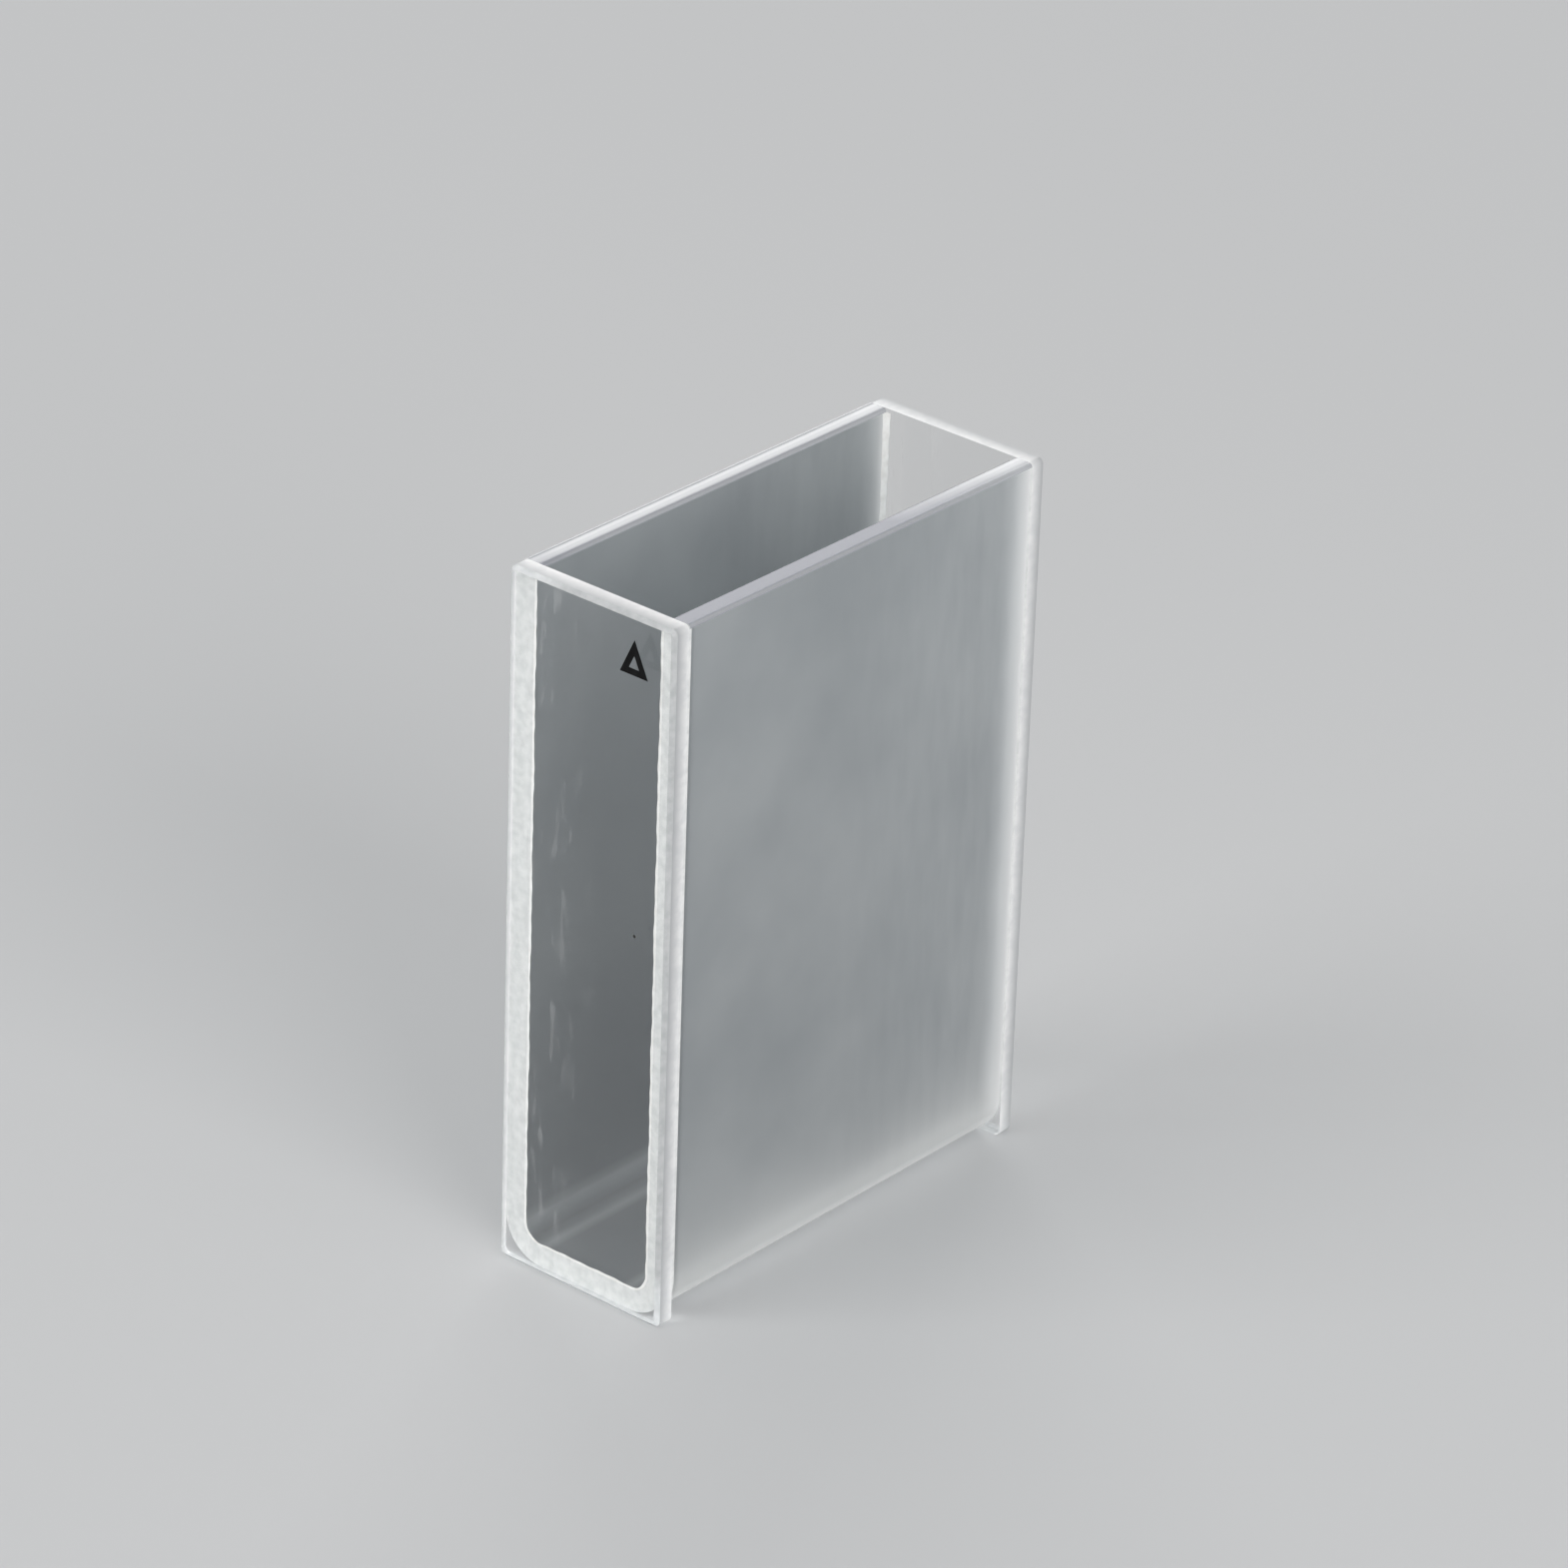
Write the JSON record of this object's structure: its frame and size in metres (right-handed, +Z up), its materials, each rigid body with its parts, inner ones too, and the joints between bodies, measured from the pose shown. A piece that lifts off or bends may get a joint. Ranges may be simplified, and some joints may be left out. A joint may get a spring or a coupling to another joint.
{
  "type": "cuvette",
  "caption": "Open rectangular quartz cuvette: a ground U-shaped trough with a clear polished window fused over each end, to hold a liquid sample in a light beam.",
  "frame": {"origin": "middle of the underside", "axes": "+Z up towards the open mouth, +Y along the light path from the front window to the rear window, +X across the width"},
  "size_m": [0.0126, 0.0324, 0.045],
  "materials": {
    "ground_quartz": "matte",
    "polished_quartz": "polished",
    "printed_mark": "matte"
  },
  "bodies": {
    "root": {"trough": "ground_quartz", "front_window": "polished_quartz", "rear_window": "polished_quartz"}
  },
  "joints": []
}
